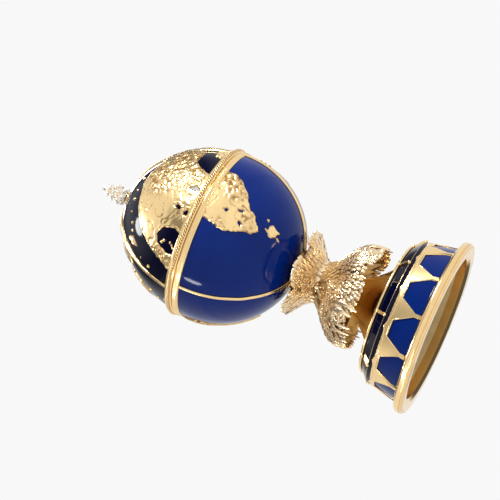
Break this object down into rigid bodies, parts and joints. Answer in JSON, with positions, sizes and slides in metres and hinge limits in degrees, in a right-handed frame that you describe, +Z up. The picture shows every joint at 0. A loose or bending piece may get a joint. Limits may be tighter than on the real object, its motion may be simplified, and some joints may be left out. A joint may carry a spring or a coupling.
{
  "type": "globe trinket box",
  "caption": "Egg-shaped globe trinket box with a hinged upper half, gold land on blue enamel, winged supports and a turned drum foot with enamelled cells.",
  "frame": {"origin": "centre of the foot's underside, on the axis of the globe", "axes": "+Z up along the axis towards the finial, -Y towards the front, +Y towards the lid's hinge, +X to the right seen from the front"},
  "size_m": [0.0562, 0.0571, 0.1163],
  "materials": {
    "gold_polished": "polished gold plating on cast zinc alloy",
    "gold_relief": "gold plating over fine cast relief",
    "enamel_cobalt": "glossy cobalt blue enamel",
    "enamel_navy": "glossy very dark blue enamel",
    "inner_gold": "satin gold plating inside the shells",
    "crystal": "clear faceted stones",
    "steel": "plain zinc plated steel",
    "magnet": "nickel plated magnet"
  },
  "bodies": {
    "base": {"assembly_screw": "steel", "base_drum": "inner_gold", "base_flange": "gold_polished", "base_top": "gold_polished", "base_washer": "steel", "bowl_enamel": "enamel_cobalt", "bowl_knuckles": "gold_polished", "bowl_land": "gold_relief", "bowl_magnet": "magnet", "bowl_rim": "gold_polished", "bowl_shell": "inner_gold", "bowl_wires": "gold_polished", "column": "gold_polished", "drum_enamel": "enamel_cobalt", "drum_fretwork": "gold_polished", "hinge_pin": "steel", "shoulder_bars": "gold_polished", "shoulder_enamel": "enamel_navy", "winged_support_1": "gold_relief", "winged_support_2": "gold_relief", "winged_support_3": "gold_relief"},
    "lid": {"lid_shell": "inner_gold", "lid_enamel": "enamel_navy", "lid_rim": "gold_polished", "rope_ring": "gold_relief", "lid_land": "gold_relief", "lid_wires": "gold_polished", "lid_magnet": "magnet", "lid_knuckle": "gold_polished", "finial_seat": "gold_polished", "finial_crown": "gold_relief", "finial_crystals": "crystal", "finial_screw": "steel"}
  },
  "joints": [
    {"name": "lid_hinge", "type": "hinge", "parent": "base", "child": "lid", "pos_m": [0, 0.02786, 0.0776], "axis": [-1, 0, 0], "range_deg": [0, 95]}
  ]
}
